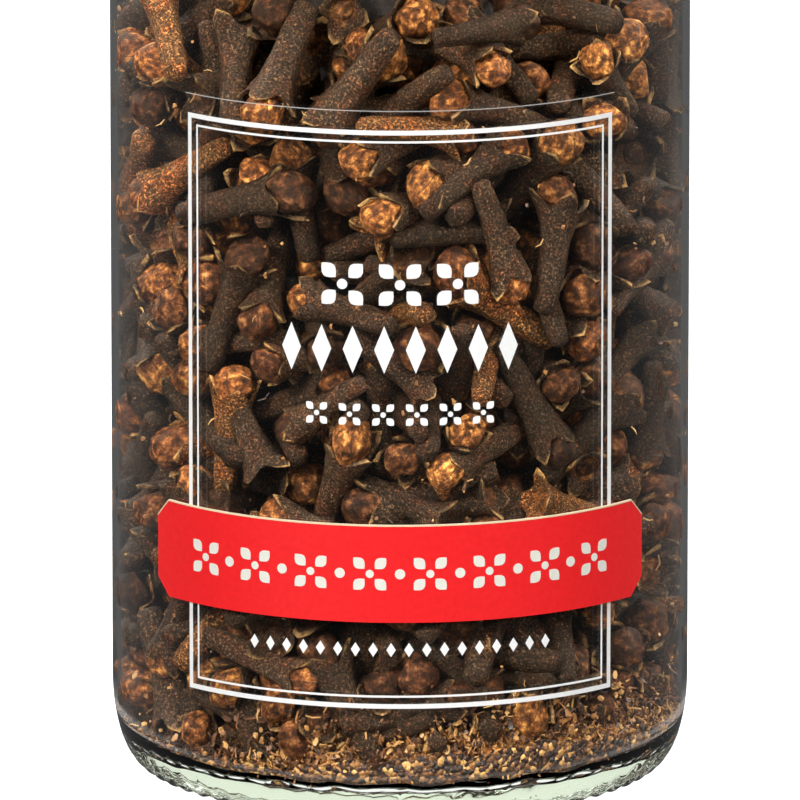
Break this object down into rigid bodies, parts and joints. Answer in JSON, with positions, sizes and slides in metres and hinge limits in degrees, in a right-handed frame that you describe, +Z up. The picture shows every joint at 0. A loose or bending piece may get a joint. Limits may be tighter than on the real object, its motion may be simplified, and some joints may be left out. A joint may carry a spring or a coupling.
{
  "type": "jar of whole cloves",
  "caption": "Round clear glass jar full of dried whole cloves, with a plain twist-off lid, a clear film label and a red band label.",
  "frame": {"origin": "centre of the jar's foot, on the surface it stands on", "axes": "+Z up along the jar's axis, -Y towards the front, where the labels are, +X to the right of a viewer who faces the labels"},
  "size_m": [0.0554, 0.056, 0.1016],
  "materials": {
    "clear_glass": "polished",
    "black_lacquer": "satin",
    "clear_film": "gloss",
    "red_paper": "satin",
    "dried_clove": "matte"
  },
  "bodies": {
    "root": {"jar": "clear_glass", "lid": "black_lacquer", "label_film": "clear_film", "label_band": "red_paper", "cloves": "dried_clove"}
  },
  "joints": []
}
